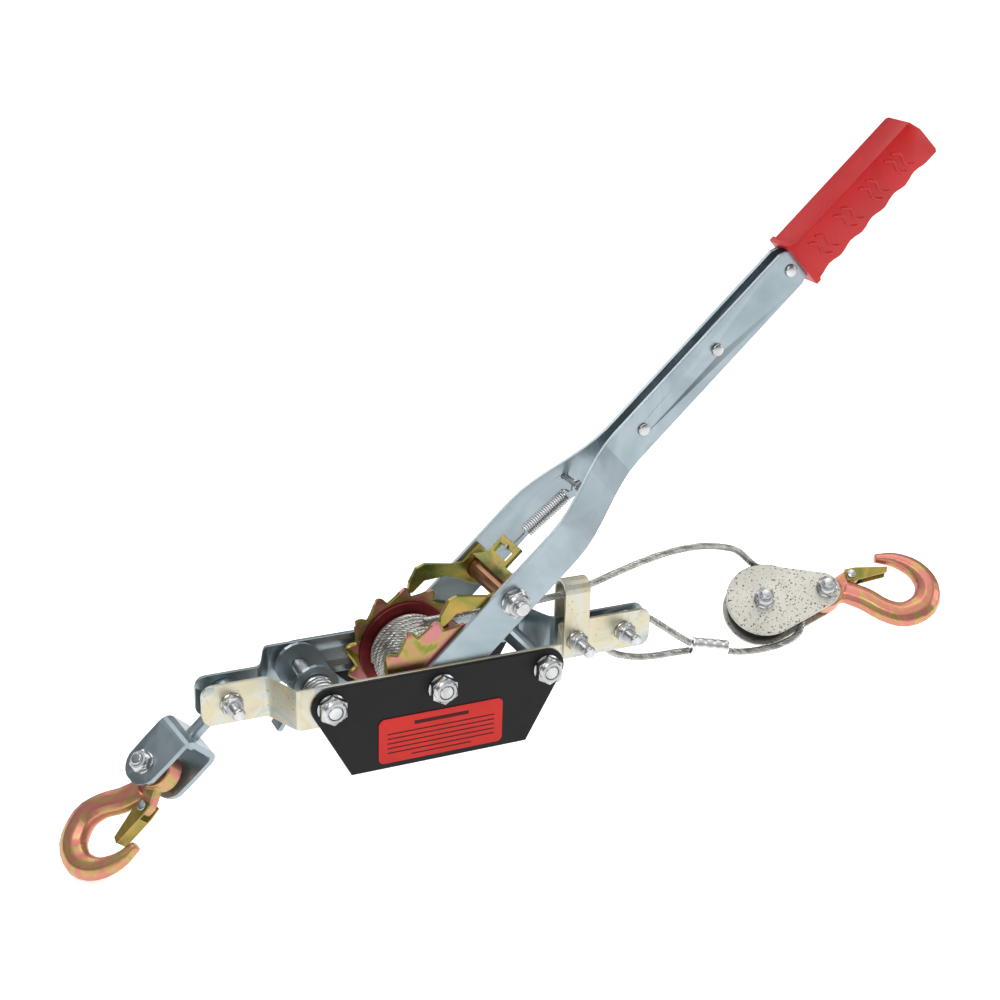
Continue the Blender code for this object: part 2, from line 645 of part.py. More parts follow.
def hook_mesh():
    """The hook's bowl, swept as ovals along its centre line."""
    rows = hook_sections(3)
    sides = 10
    bm = bmesh.new()
    loops = []
    for i, (x, y, half_w, half_t) in enumerate(rows):
        before, after = rows[max(i - 1, 0)], rows[min(i + 1, len(rows) - 1)]
        heading = atan2(after[1] - before[1], after[0] - before[0])
        across = Vector((-sin(heading), cos(heading), 0.0))
        loop = [bm.verts.new(Vector((x, y, 0)) + across * half_w * cos(2 * pi * k / sides)
                             + Vector((0, 0, half_t * sin(2 * pi * k / sides)))) for k in range(sides)]
        loops.append(loop)
    for a, b in zip(loops, loops[1:]):
        for i in range(sides):
            j = (i + 1) % sides
            bm.faces.new((a[i], a[j], b[j], b[i]))
    bm.faces.new(loops[0])
    bm.faces.new(loops[-1])
    return bm


def build_hook(name, latch_name, materials, hook, latch):
    gold = materials["yellow_zinc"]
    body = new_object(name, hook_mesh(), gold, hook)
    eye = plate(circle((0, 0), EYE_R, 20), [], -EYE_HALF, EYE_HALF, axis='Z')
    add_boolean(body, new_object(f"{name}_eye", eye, gold, hook), 'UNION')
    neck = plate([(6.0, -8.5), (20.0, -8.0), (20.0, 5.0), (27.0, 5.0), (26.5, 12.5), (20.0, 13.5),
                  (8.0, 8.0)],
                 [], -3.6, 3.6, axis='Z')
    add_boolean(body, new_object(f"{name}_neck", neck, gold, hook), 'UNION')
    turn = Euler((pi / 2, 0, 0))
    bore = new_object(f"{name}_bore", tube_cutter(M8_R + GAP, 20.0), gold, hook, turn=turn)
    add_boolean(body, bore, 'DIFFERENCE')
    pin_hole = new_object(f"{name}_pin_hole", tube_cutter(1.8, 20.0), gold, hook,
                          (*LATCH_PIVOT, 0), turn=turn)
    add_boolean(body, pin_hole, 'DIFFERENCE')
    rivet = [(-7.2, 1.6, 'round'), (-6.6, 3.2, 'round'), (-5.6, 3.4, 'round'), (-5.6, 1.5, 'round'),
             (5.6, 1.5, 'round'), (5.6, 3.4, 'round'), (6.6, 3.2, 'round'), (7.2, 1.6, 'round')]
    new_object(f"{latch_name}_rivet", stack(rivet, 14), materials["bright_steel"], latch, turn=turn)
    build_latch(latch_name, gold, latch)


def build_latch(name, material, latch):
    """A pressed channel over the hook's neck: two cheeks and a bridge on the side of the hook's tip."""
    cheek = [(-4.0, -4.6), (4.0, -5.0), (9.0, -4.6), (LATCH_REACH - 2.0, -3.4), (LATCH_REACH, 0.6),
             (4.0, 4.4),
             (-4.0, 4.4)]
    body = new_object(name, plate(cheek, [(0, 0, 1.8)], -5.3, -4.0, axis='Z'), material, latch)
    far = plate(cheek, [(0, 0, 1.8)], 4.0, 5.3, axis='Z')
    add_boolean(body, new_object(f"{name}_far_cheek", far, material, latch), 'UNION')
    bridge = plate([(7.0, 2.4), (LATCH_REACH - 0.6, -0.8), (LATCH_REACH - 0.2, 0.5), (7.2, 3.9)], [],
                   -4.4, 4.4, axis='Z')
    add_boolean(body, new_object(f"{name}_bridge", bridge, material, latch), 'UNION')


def build_shank(materials, shank):
    """The swivel shank: a flattened eye on the frame bolt and a headed stem through the clevis web."""
    zinc = materials["zinc"]
    head_start = CLEVIS_BOLT - CLEVIS_REACH + CLEVIS_T + GAP
    stem = [(0.0, SHANK_R, 'round'), (head_start, SHANK_R, 'round'), (head_start, 7.6, 'round'),
            (head_start + 3.0, 7.6, 'round'), (head_start + 4.2, 6.0, 'round')]
    eye = plate(circle((0, 0), 11.0, 20), [], -5.6, 5.6)
    body = new_object("swivel_shank", eye, zinc, shank)
    stem_obj = new_object("shank_stem", stack(stem, 16), zinc, shank, turn=Euler((0, 0, -pi / 2)))
    add_boolean(body, stem_obj, 'UNION')
    bore = new_object("shank_bore", tube_cutter(M8_R + GAP, 20.0), zinc, shank)
    add_boolean(body, bore, 'DIFFERENCE')


def build_clevis(materials, clevis):
    """A U of flat bar: the web takes the swivel shank, the arms carry the hook bolt along local Z."""
    zinc, steel = materials["zinc"], materials["bright_steel"]
    web_out, outer, end = -CLEVIS_REACH, CLEVIS_IN + CLEVIS_T, 13.5
    corner_out, corner_in = 7.0, 3.0
    section = arc((web_out + corner_out, -outer + corner_out), corner_out, 180.0, 270.0, 4)
    section += [(end, -outer), (end, -CLEVIS_IN)]
    section += arc((web_out + CLEVIS_T + corner_in, -CLEVIS_IN + corner_in), corner_in, 270.0, 180.0, 4)
    section += arc((web_out + CLEVIS_T + corner_in, CLEVIS_IN - corner_in), corner_in, 180.0, 90.0, 4)
    section += [(end, CLEVIS_IN), (end, outer)]
    section += arc((web_out + corner_out, outer - corner_out), corner_out, 90.0, 180.0, 4)
    body = new_object("clevis", plate(section, [], -CLEVIS_HALF, CLEVIS_HALF), zinc, clevis)
    shape = arc((0.0, 0.0), CLEVIS_HALF, -75.0, 75.0, 10) + [(web_out - 5.0, CLEVIS_HALF + 1.0),
                                                            (web_out - 5.0, -CLEVIS_HALF - 1.0)]
    add_boolean(body, new_object("clevis_shape", plate(shape, [], -30.0, 30.0, axis='Z'), zinc, clevis),
                'INTERSECT')
    cross = Euler((pi / 2, 0, 0))
    bolt_bore = new_object("clevis_bolt_bore", tube_cutter(M8_R + GAP, 30.0), zinc, clevis, turn=cross)
    add_boolean(body, bolt_bore, 'DIFFERENCE')
    swivel_bore = new_object("clevis_swivel_bore", tube_cutter(SHANK_R + GAP, 8.0), zinc, clevis,
                             (web_out + 2.0, 0, 0), turn=Euler((0, 0, -pi / 2)))
    add_boolean(body, swivel_bore, 'DIFFERENCE')
    seat = outer + GAP
    new_object("clevis_bolt", bolt(M8_R, M8_FLATS, -seat, seat + 9.0), steel, clevis, turn=cross)
    new_object("clevis_nut", nut(M8_R, M8_FLATS, seat, M8_NUT_H), steel, clevis, turn=cross)


def block_outline():
    """Teardrop cheek: a big round at the sheave, a small round at the hook bolt, straight flanks."""
    lean = degrees(asin((BLOCK_R - BLOCK_SMALL_R) / BLOCK_BOLT))
    points = arc((0.0, 0.0), BLOCK_R, 90.0 - lean, 270.0 + lean, 24)
    points += arc((BLOCK_BOLT - 3.0, 0.0), BLOCK_SMALL_R, -90.0 + lean, 90.0 - lean, 12)
    return points


def build_block(materials, block):
    zinc, steel = materials["speckled_zinc"], materials["bright_steel"]
    holes = [(0, 0, M8_R + GAP), (BLOCK_BOLT, 0, M8_R + GAP)]
    for side, suffix in ((1, "near"), (-1, "far")):
        low, high = sorted((side * BLOCK_IN, side * (BLOCK_IN + BLOCK_T)))
        new_object(f"block_plate_{suffix}", plate(block_outline(), holes, low, high, axis='Z'), zinc, block)
    seat = BLOCK_IN + BLOCK_T + GAP
    turn = Euler((-pi / 2, 0, 0))
    for x, bolt_name, nut_name in ((0.0, "sheave_bolt", "sheave_nut"),
                                   (BLOCK_BOLT, "block_hook_bolt", "block_hook_nut")):
        new_object(bolt_name, bolt(M8_R, M8_FLATS, seat, -seat - 11.0), steel, block, (x, 0, 0), turn)
        new_object(nut_name, nut(M8_R, M8_FLATS, -seat, -M8_NUT_H), steel, block, (x, 0, 0), turn)


def build_sheave(materials, sheave):
    half, bore = SHEAVE_HALF, M8_R + GAP
    rings = [(-half, bore, 'round'), (-half, SHEAVE_R, 'round'), (-half + 2.0, SHEAVE_R, 'round'),
             (-2.6, GROOVE_R, 'round'), (2.6, GROOVE_R, 'round'), (half - 2.0, SHEAVE_R, 'round'),
             (half, SHEAVE_R, 'round'), (half, bore, 'round')]
    new_object("sheave", stack(rings, 28, ring_shaped=True), materials["dark_steel"], sheave,
               turn=Euler((pi / 2, 0, 0)))


# ================================================================================================
# wire rope
# ================================================================================================

def build_rope(materials, root, block_axes):
    wire = materials["wire_rope"]
    along, across = Vector(block_axes[0]), Vector(block_axes[1])
    centre = Vector(BLOCK_AT)
    turn = [centre + along * u + across * v for u, v in ROUND_BLOCK]
    ferrule_end = ferrule_axis() * (FERRULE_LENGTH / 2 + 1.6) + Vector(FERRULE_AT) + Vector((0, 0, -1.6))
    route = [Vector(p) for p in RUN_TO_BLOCK] + turn + [Vector(p) for p in RUN_TO_FERRULE] + [ferrule_end]
    rope_curve("rope_run", smooth_route(route, 9.0), wire, root)
    rope_curve("rope_eye", smooth_route(EYE_ROUTE, 7.5), wire, root)
    bm = stack([(-FERRULE_LENGTH / 2, 1.0, 'round'), (FERRULE_LENGTH / 2, 1.0, 'round')], 16)
    for vert in bm.verts:
        vert.co.x *= FERRULE_HALF[0]
        vert.co.z *= FERRULE_HALF[1]
    axis = ferrule_axis()
    turn = axis.to_track_quat('Y', 'Z').to_euler()
    new_object("ferrule", bm, materials["aluminium"], root, FERRULE_AT, turn)


def ferrule_axis():
    return Vector(FERRULE_AXIS).normalized()


# ================================================================================================
# the whole winch
# ================================================================================================

def chain_axes():
    """Axes of the shank, of the clevis turned on it, and of the hook on the clevis bolt."""
    along = Vector((-cos(radians(SHANK_DROP)), 0.0, -sin(radians(SHANK_DROP))))
    side = Vector((0.0, -1.0, 0.0))
    up = along.cross(side)
    bolt_axis = up * cos(radians(SWIVEL_TURN)) + side * sin(radians(SWIVEL_TURN))
    clevis_side = bolt_axis.cross(along)
    turn = radians(ANCHOR_HOOK_TURN)
    hook_along = along * cos(turn) + clevis_side * sin(turn)
    return ((along, side, up), (along, clevis_side, bolt_axis),
            (hook_along, bolt_axis.cross(hook_along), bolt_axis))


def pulley_axes():
    """Axes of the pulley block: along it to the hook, across it, and its bolts."""
    yaw, pitch, roll = radians(BLOCK_YAW), radians(BLOCK_PITCH), radians(BLOCK_ROLL)
    along = Vector((cos(pitch) * cos(yaw), cos(pitch) * sin(yaw), sin(pitch)))
    side = Vector((0, 0, 1)).cross(along).normalized()
    normal = along.cross(side) * sin(roll) - side * cos(roll)
    return (along, normal.cross(along), normal)


def make_materials():
    return {
        "zinc": make_material("zinc", (0.62, 0.68, 0.70), 0.35, 0.9),
        "speckled_zinc": make_material("speckled_zinc", (0.60, 0.62, 0.55), 0.45, 0.8),
        "yellow_zinc": make_material("yellow_zinc", (0.62, 0.45, 0.24), 0.35, 0.85),
        "bright_steel": make_material("bright_steel", (0.75, 0.77, 0.78), 0.22, 1.0),
        "black_paint": make_material("black_paint", (0.015, 0.015, 0.015), 0.4, 0.0),
        "label_film": make_material("label_film", (0.62, 0.04, 0.03), 0.4, 0.0),
        "drum_red": make_material("drum_red", (0.22, 0.05, 0.04), 0.5, 0.3),
        "wire_rope": make_material("wire_rope", (0.55, 0.55, 0.52), 0.4, 0.9),
        "aluminium": make_material("aluminium", (0.78, 0.77, 0.75), 0.4, 1.0),
        "dark_steel": make_material("dark_steel", (0.10, 0.11, 0.10), 0.45, 0.8),
        "red_plastic": make_material("red_plastic", (0.55, 0.02, 0.02), 0.45, 0.0)}


def main():
    clear_scene()
    materials = make_materials()
    root = new_empty("frame", None, (BASE_X, BASE_Y, BASE_Z))
    build_frame(materials, root)

    turn = radians(LEVER_ANGLE)
    lever_axes = (Vector((cos(turn), 0, sin(turn))), Vector((0, 1, 0)), Vector((-sin(turn), 0, cos(turn))))
    lever = new_empty("lever", root, (0, 0, 0), lever_axes)
    build_lever(materials, lever)
    build_drum(materials, new_empty("drum", root))
    build_drive_pawl(materials, new_empty("drive_pawl_pivot", lever, (PAWL_BOLT, 0, 0)))
    tail = Vector((PAWL_BOLT + 24.0, 0.0, 10.5))
    pin = Vector((SPRING_PIN[0], 0.0, SPRING_PIN[1]))
    spring_along = (tail - pin).normalized()
    spring_side = Vector((0, 1, 0))
    spring_axes = (spring_along, spring_side, spring_along.cross(spring_side))
    build_pawl_spring(materials, new_empty("pawl_spring_swing", lever, pin, spring_axes))
    build_stop_pawl(materials, new_empty("stop_pawl_pivot", root, (-BOLT_PITCH, 0, 0)))

    shank_axes, clevis_axes, hook_axes = chain_axes()
    end_bolt = Vector((LEFT_END_X, 0.0, 0.0))
    clevis_bolt = end_bolt + shank_axes[0] * CLEVIS_BOLT
    build_shank(materials, new_empty("shank_swing", root, end_bolt, shank_axes))
    build_clevis(materials, new_empty("clevis_swivel", root, clevis_bolt, clevis_axes))
    anchor = new_empty("anchor_hook_swing", root, clevis_bolt, hook_axes)
    build_hook("anchor_hook", "anchor_latch", materials, anchor,
               new_empty("anchor_latch_swing", anchor, (*LATCH_PIVOT, 0)))

    block_axes = pulley_axes()
    block = new_empty("block_swing", root, BLOCK_AT, block_axes)
    build_block(materials, block)
    build_sheave(materials, new_empty("sheave_turn", block))
    load = new_empty("load_hook_swing", block, (BLOCK_BOLT, 0, 0))
    build_hook("load_hook", "load_latch", materials, load,
               new_empty("load_latch_swing", load, (*LATCH_PIVOT, 0)))
    build_rope(materials, root, block_axes)


main()
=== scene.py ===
"""Looks of the hand cable winch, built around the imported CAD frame."""
import json
from collections import namedtuple
from math import ceil, cos, pi, radians, sin, tau

import bmesh
import bpy
from mathutils import Euler, Matrix, Vector


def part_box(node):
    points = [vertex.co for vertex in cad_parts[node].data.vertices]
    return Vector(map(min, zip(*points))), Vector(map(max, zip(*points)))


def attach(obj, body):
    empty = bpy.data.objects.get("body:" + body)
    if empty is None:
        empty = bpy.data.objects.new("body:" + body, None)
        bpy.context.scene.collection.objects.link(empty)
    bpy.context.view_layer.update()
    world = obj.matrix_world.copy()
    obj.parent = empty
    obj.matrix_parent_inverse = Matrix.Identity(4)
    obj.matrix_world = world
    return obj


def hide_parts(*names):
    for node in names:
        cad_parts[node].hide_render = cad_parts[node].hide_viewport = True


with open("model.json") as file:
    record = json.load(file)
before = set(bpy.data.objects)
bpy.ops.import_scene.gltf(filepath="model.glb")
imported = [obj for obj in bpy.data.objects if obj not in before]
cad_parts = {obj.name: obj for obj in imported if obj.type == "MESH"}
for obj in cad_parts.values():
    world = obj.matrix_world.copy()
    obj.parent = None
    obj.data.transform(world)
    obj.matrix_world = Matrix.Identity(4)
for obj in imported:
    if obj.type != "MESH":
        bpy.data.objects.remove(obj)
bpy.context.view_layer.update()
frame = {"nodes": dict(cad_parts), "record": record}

MM = 0.001
SHARP = radians(32)
JOINTS = {joint["name"]: joint for joint in frame["record"]["behaviour"]["joints"]}
BODY_OF = {node: body for body, nodes in frame["record"]["behaviour"]["bodies"].items() for node in nodes}
SLOT_OF = {part["node"]: part["material_slot"] for part in frame["record"]["subparts"]}
AXLE = Vector(JOINTS["lever_swing"]["pos_m"])

# ---- named sizes, in millimetres, as the CAD has them --------------------------------------------
LEVER_ANGLE = 43.3
LATCH_PIVOT = (22.5, 9.4)
ROPE_R = 2.5
TEETH = 13
TOOTH_PHASE = 91.0
WHEEL_TIP_R = 42.5
WHEEL_ROOT_R = 35.5
WHEEL_MIDDLE = 27.5
BLOCK_AT = (Vector(JOINTS["block_swing"]["pos_m"]) - AXLE) / MM
BLOCK_BOLT = 46.0
FRAME_BOLT_SPACING = 75.0
PAWL_BOLT = 72.0
PAWL_SPRING_TAB = (24.0, 0.0, 10.5)

Fastener = namedtuple("Fastener", "shank_r pitch flats nut_height")
M8 = Fastener(4.0, 1.25, 13.0, 6.6)
M10 = Fastener(5.0, 1.5, 17.0, 8.2)

# ---- camera --------------------------------------------------------------------------------------
CAMERA_FROM_AXLE = (-0.3900, -0.9387, 0.5125)
CAMERA_TURN = (68.711, -1.586, -24.756)
CAMERA_LENS = 61.62


def make_camera():
    data = bpy.data.cameras.new("camera")
    data.lens = CAMERA_LENS
    data.sensor_width = 36.0
    data.clip_start, data.clip_end = 0.01, 60.0
    camera = bpy.data.objects.new("camera", data)
    bpy.context.collection.objects.link(camera)
    turn = Euler([radians(angle) for angle in CAMERA_TURN]).to_matrix().to_4x4()
    camera.matrix_world = Matrix.Translation(AXLE + Vector(CAMERA_FROM_AXLE)) @ turn
    bpy.context.scene.camera = camera


# ---- small geometry tools ------------------------------------------------------------------------
def axes_matrix(origin, x_axis, y_axis, z_axis):
    turn = Matrix((x_axis, y_axis, z_axis)).transposed().to_4x4()
    return Matrix.Translation(origin) @ turn


def world_place():
    """Millimetres from the drum axle, in world directions."""
    return Matrix.Translation(AXLE)


def lever_place():
    turn = radians(LEVER_ANGLE)
    return axes_matrix(AXLE, Vector((cos(turn), 0, sin(turn))), Vector((0, 1, 0)),
                       Vector((-sin(turn), 0, cos(turn))))


def hook_place(hook_joint, latch_joint):
    """A hook's own axes, from its pivot, its latch's pivot and the direction of its bolt."""
    origin = Vector(JOINTS[hook_joint]["pos_m"])
    bolt_axis = Vector(JOINTS[hook_joint]["axis"]).normalized()
    reach = (Vector(JOINTS[latch_joint]["pos_m"]) - origin) / MM
    along = (LATCH_PIVOT[0] * reach + LATCH_PIVOT[1] * reach.cross(bolt_axis)).normalized()
    return axes_matrix(origin, along, bolt_axis.cross(along), bolt_axis)


def finish_object(name, bm, place, material, body, nodes=(), smooth=True):
    """A mesh in millimetres becomes a piece of the winch that moves with its body."""
    bmesh.ops.transform(bm, matrix=place @ Matrix.Scale(MM, 4), verts=bm.verts)
    bmesh.ops.recalc_face_normals(bm, faces=bm.faces)
    mesh = bpy.data.meshes.new(name)
    bm.to_mesh(mesh)
    bm.free()
    if smooth:
        mesh.shade_smooth()
        mesh.set_sharp_from_angle(angle=SHARP)
    mesh.materials.append(material)
    obj = bpy.data.objects.new(name, mesh)
    bpy.context.collection.objects.link(obj)
    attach(obj, body)
    if nodes:
        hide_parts(*nodes)
    return obj


def smooth_route(points, spacing):
    """Points about every spacing along a smooth curve through the given points."""
    route = [Vector(point) for point in points]
    ends = [route[0] * 2 - route[1]] + route + [route[-1] * 2 - route[-2]]
    dense = []
    for p0, p1, p2, p3 in zip(ends, ends[1:], ends[2:], ends[3:]):
        for k in range(24):
            t = k / 24
            dense.append(0.5 * ((2 * p1) + (p2 - p0) * t + (2 * p0 - 5 * p1 + 4 * p2 - p3) * t * t
                                + (3 * p1 - p0 - 3 * p2 + p3) * t ** 3))
    dense.append(route[-1])
    total = sum((b - a).length for a, b in zip(dense, dense[1:]))
    count = max(2, ceil(total / spacing))
    result, travelled, step = [dense[0]], 0.0, total / count
    for a, b in zip(dense, dense[1:]):
        length = (b - a).length
        while length and travelled + length >= step * len(result) and len(result) < count:
            result.append(a.lerp(b, (step * len(result) - travelled) / length))
        travelled += length
    return result + [dense[-1]]


def route_frames(points):
    """Tangent and two sides at each point, carried along without twist."""
    frames, side = [], None
    for i in range(len(points)):
        ahead, behind = points[min(i + 1, len(points) - 1)], points[max(i - 1, 0)]
        tangent = (ahead - behind).normalized()
        if side is None:
            side = tangent.orthogonal().normalized()
        side = (side - tangent * side.dot(tangent)).normalized()
        frames.append((tangent, side, tangent.cross(side)))
    return frames


def skin(bm, pairs):
    """Faces between each pair of point rings."""
    for a, b in pairs:
        sides = len(a)
        for k in range(sides):
            bm.faces.new((a[k], a[(k + 1) % sides], b[(k + 1) % sides], b[k]))


def capped_skin(bm, loops):
    skin(bm, zip(loops, loops[1:]))
    bm.faces.new(loops[0])
    bm.faces.new(loops[-1])


def sweep(bm, points, radius, sides=8, flat=1.0):
    """A round wire along points, with capped ends; flat stretches its second side."""
    loops = []
    for point, (_, side, up) in zip(points, route_frames(points)):
        ring = []
        for k in range(sides):
            angle = tau * k / sides
            across = side * (radius * cos(angle)) + up * (radius * flat * sin(angle))
            ring.append(bm.verts.new(point + across))
        loops.append(ring)
    capped_skin(bm, loops)
    return bm


def twisted_rope(bm, points, radius, strands=6, lay=16.0, core=True):
    """Strands laid in a helix round the route, as in a real wire rope."""
    strand_r = radius * 0.36
    helix_r = radius - strand_r
    frames = route_frames(points)
    travelled = [0.0]
    for a, b in zip(points, points[1:]):
        travelled.append(travelled[-1] + (b - a).length)
    for s in range(strands):
        line = []
        for point, (_, side, up), length in zip(points, frames, travelled):
            angle = tau * (s / strands + length / lay)
            line.append(point + side * (helix_r * cos(angle)) + up * (helix_r * sin(angle)))
        sweep(bm, line, strand_r, 7)
    if core:
        sweep(bm, points, radius * 0.5, 6)
    return bm


def helix(radius, start, end, turns, per_turn=16):
    """Points of a coil about local Y, from height start to end."""
    count = int(turns * per_turn)
    return [Vector((radius * cos(tau * turns * i / count), start + (end - start) * i / count,
                    radius * sin(tau * turns * i / count))) for i in range(count + 1)]


def lathe(bm, rings, sides=48):
    """A closed profile of rings (height along Y, radius) turned into a solid."""
    loops = [[bm.verts.new((r * cos(tau * k / sides), y, r * sin(tau * k / sides))) for k in range(sides)]
             for y, r in rings]
    skin(bm, zip(loops, loops[1:] + loops[:1]))
    return bm


# ---- materials -----------------------------------------------------------------------------------
LESS_ROUGH, MORE_ROUGH = 0.09, 0.11
RELIEF_DEPTH = 0.0002


def ramp_node(nodes, stops):
    ramp = nodes.new("ShaderNodeValToRGB")
    elements = ramp.color_ramp.elements
    while len(elements) < len(stops):
        elements.new(0.5)
    for element, (at, colour) in zip(elements, stops):
        element.position = at
        element.color = (*colour, 1.0)
    return ramp


def noise_node(nodes, links, coords, scale, detail, distortion=0.0):
    noise = nodes.new("ShaderNodeTexNoise")
    noise.inputs["Scale"].default_value = scale
    noise.inputs["Detail"].default_value = detail
    noise.inputs["Distortion"].default_value = distortion
    links.new(coords.outputs["Object"], noise.inputs["Vector"])
    return noise


def tinted(nodes, links, base, tint, mask):
    """The base colour, turned to the tint where the mask is white."""
    mix = nodes.new("ShaderNodeMix")
    mix.data_type = 'RGBA'
    mix.inputs["B"].default_value = (*tint, 1.0)
    links.new(mask, mix.inputs["Factor"])
    links.new(base, mix.inputs["A"])
    return mix.outputs["Result"]


def surface(name, stops, scale, metallic, roughness, bump=0.1, distortion=0.6, edge=None, specks=None,
            fine_scale=900.0, specular=0.5):
    """A surface with drifting colour, uneven gloss, fine relief and, if asked, painted highlights on sharp
    edges and specks.
    """
    material = bpy.data.materials.new(name)
    material.use_nodes = True
    nodes, links = material.node_tree.nodes, material.node_tree.links
    shader = nodes["Principled BSDF"]
    shader.inputs["Metallic"].default_value = metallic
    shader.inputs["Specular IOR Level"].default_value = specular
    coords = nodes.new("ShaderNodeTexCoord")
    broad = noise_node(nodes, links, coords, scale, 4.0, distortion)
    colour = ramp_node(nodes, stops)
    links.new(broad.outputs["Fac"], colour.inputs["Fac"])
    result = colour.outputs["Color"]
    fine = noise_node(nodes, links, coords, fine_scale, 3.0)
    if specks:
        size, amount, tint = specks
        spots = noise_node(nodes, links, coords, size, 2.0)
        mask = ramp_node(nodes, [(amount, (1, 1, 1)), (amount + 0.06, (0, 0, 0))])
        links.new(spots.outputs["Fac"], mask.inputs["Fac"])
        result = tinted(nodes, links, result, tint, mask.outputs["Color"])
    # painted highlight: sharp edges (high pointiness) are tinted towards the edge colour, standing in for
    # light caught on the bevels
    if edge:
        geometry = nodes.new("ShaderNodeNewGeometry")
        edge_highlight = ramp_node(nodes, [(0.53, (0, 0, 0)), (0.62, (0.7, 0.7, 0.7))])
        links.new(geometry.outputs["Pointiness"], edge_highlight.inputs["Fac"])
        result = tinted(nodes, links, result, edge, edge_highlight.outputs["Color"])
    links.new(result, shader.inputs["Base Color"])
    rough = nodes.new("ShaderNodeMapRange")
    rough.inputs["To Min"].default_value = roughness - LESS_ROUGH
    rough.inputs["To Max"].default_value = roughness + MORE_ROUGH
    links.new(broad.outputs["Fac"], rough.inputs["Value"])
    links.new(rough.outputs["Result"], shader.inputs["Roughness"])
    relief = nodes.new("ShaderNodeBump")
    relief.inputs["Strength"].default_value = bump
    relief.inputs["Distance"].default_value = RELIEF_DEPTH
    links.new(fine.outputs["Fac"], relief.inputs["Height"])
    links.new(relief.outputs["Normal"], shader.inputs["Normal"])
    return material


def make_materials():
    blue = [(0.25, (0.17, 0.22, 0.24)), (0.5, (0.34, 0.40, 0.43)), (0.75, (0.23, 0.30, 0.33))]
    pale = [(0.30, (0.42, 0.46, 0.42)), (0.44, (0.58, 0.52, 0.36)), (0.56, (0.56, 0.57, 0.50)),
            (0.72, (0.40, 0.46, 0.45))]
    bright = [(0.3, (0.36, 0.37, 0.38)), (0.7, (0.60, 0.61, 0.61))]
    pink = [(0.30, (0.20, 0.21, 0.04)), (0.40, (0.38, 0.28, 0.10)), (0.50, (0.46, 0.20, 0.15)),
            (0.62, (0.50, 0.19, 0.21)), (0.76, (0.24, 0.24, 0.06))]
    hook = [(0.30, (0.30, 0.30, 0.06)), (0.40, (0.50, 0.33, 0.13)), (0.50, (0.56, 0.22, 0.15)),
            (0.64, (0.60, 0.21, 0.18)), (0.76, (0.44, 0.34, 0.12))]
    olive = [(0.30, (0.11, 0.13, 0.03)), (0.48, (0.24, 0.22, 0.05)), (0.62, (0.42, 0.27, 0.07)),
             (0.74, (0.19, 0.20, 0.04))]
    plate_grey = [(0.3, (0.46, 0.45, 0.40)), (0.7, (0.64, 0.62, 0.56))]
    black = [(0.3, (0.004, 0.004, 0.005)), (0.7, (0.008, 0.008, 0.009))]
    film = [(0.3, (0.50, 0.014, 0.010)), (0.7, (0.58, 0.020, 0.014))]
    mark = [(0.3, (0.04, 0.002, 0.002)), (0.7, (0.07, 0.004, 0.003))]
    oxide = [(0.3, (0.10, 0.008, 0.010)), (0.7, (0.22, 0.02, 0.025))]
    copper = [(0.3, (0.26, 0.12, 0.06)), (0.7, (0.42, 0.20, 0.11))]
    wire = [(0.3, (0.30, 0.29, 0.27)), (0.7, (0.52, 0.51, 0.48))]
    aluminium = [(0.3, (0.66, 0.66, 0.67)), (0.7, (0.82, 0.82, 0.82))]
    dark = [(0.3, (0.020, 0.027, 0.021)), (0.7, (0.05, 0.056, 0.045))]
    red = [(0.3, (0.42, 0.004, 0.005)), (0.7, (0.50, 0.007, 0.008))]
    nylon = [(0.3, (0.42, 0.44, 0.46)), (0.7, (0.54, 0.56, 0.58))]
    return {
        "zinc": surface("zinc_blue", blue, 16, 0.88, 0.30, 0.08),
        "pale_zinc": surface("zinc_pale", pale, 34, 0.85, 0.36, 0.10, 1.4,
                             specks=(520, 0.27, (0.30, 0.25, 0.15))),
        "speckled_zinc": surface("zinc_speckled", plate_grey, 30, 0.75, 0.42, 0.18,
                                 specks=(620, 0.345, (0.09, 0.08, 0.065))),
        "yellow_zinc": surface("chromate_pink", pink, 38, 0.9, 0.30, 0.10, 1.6),
        # the hook's edge tint is a painted highlight along its sharp edges
        "hook": surface("chromate_hook", hook, 46, 0.8, 0.34, 0.30, 2.0, edge=(0.55, 0.50, 0.10)),
        "olive": surface("chromate_olive", olive, 30, 0.9, 0.28, 0.10, 1.2),
        "bright_steel": surface("steel_bright", bright, 90, 1.0, 0.25, 0.06),
        "black_paint": surface("paint_black", black, 60, 0.0, 0.40, 0.12, specular=0.2),
        "label_film": surface("film_red", film, 50, 0.0, 0.38, 0.03, specular=0.25),
        "mark": surface("mark_dark", mark, 60, 0.0, 0.5, 0.02, specular=0.2),
        "drum_red": surface("oxide_red", oxide, 60, 0.6, 0.36, 0.1),
        "copper": surface("bush_copper", copper, 70, 0.9, 0.34, 0.1),
        "wire_rope": surface("wire_grey", wire, 160, 0.9, 0.34, 0.2),
        "aluminium": surface("aluminium_pressed", aluminium, 70, 1.0, 0.30, 0.1),
        "dark_steel": surface("steel_dark", dark, 60, 0.7, 0.42, 0.25),
        "red_plastic": surface("plastic_red", red, 30, 0.0, 0.36, 0.08, fine_scale=1600.0, specular=0.35),
        "nylon": surface("nylon_ring", nylon, 90, 0.0, 0.4, 0.05)}


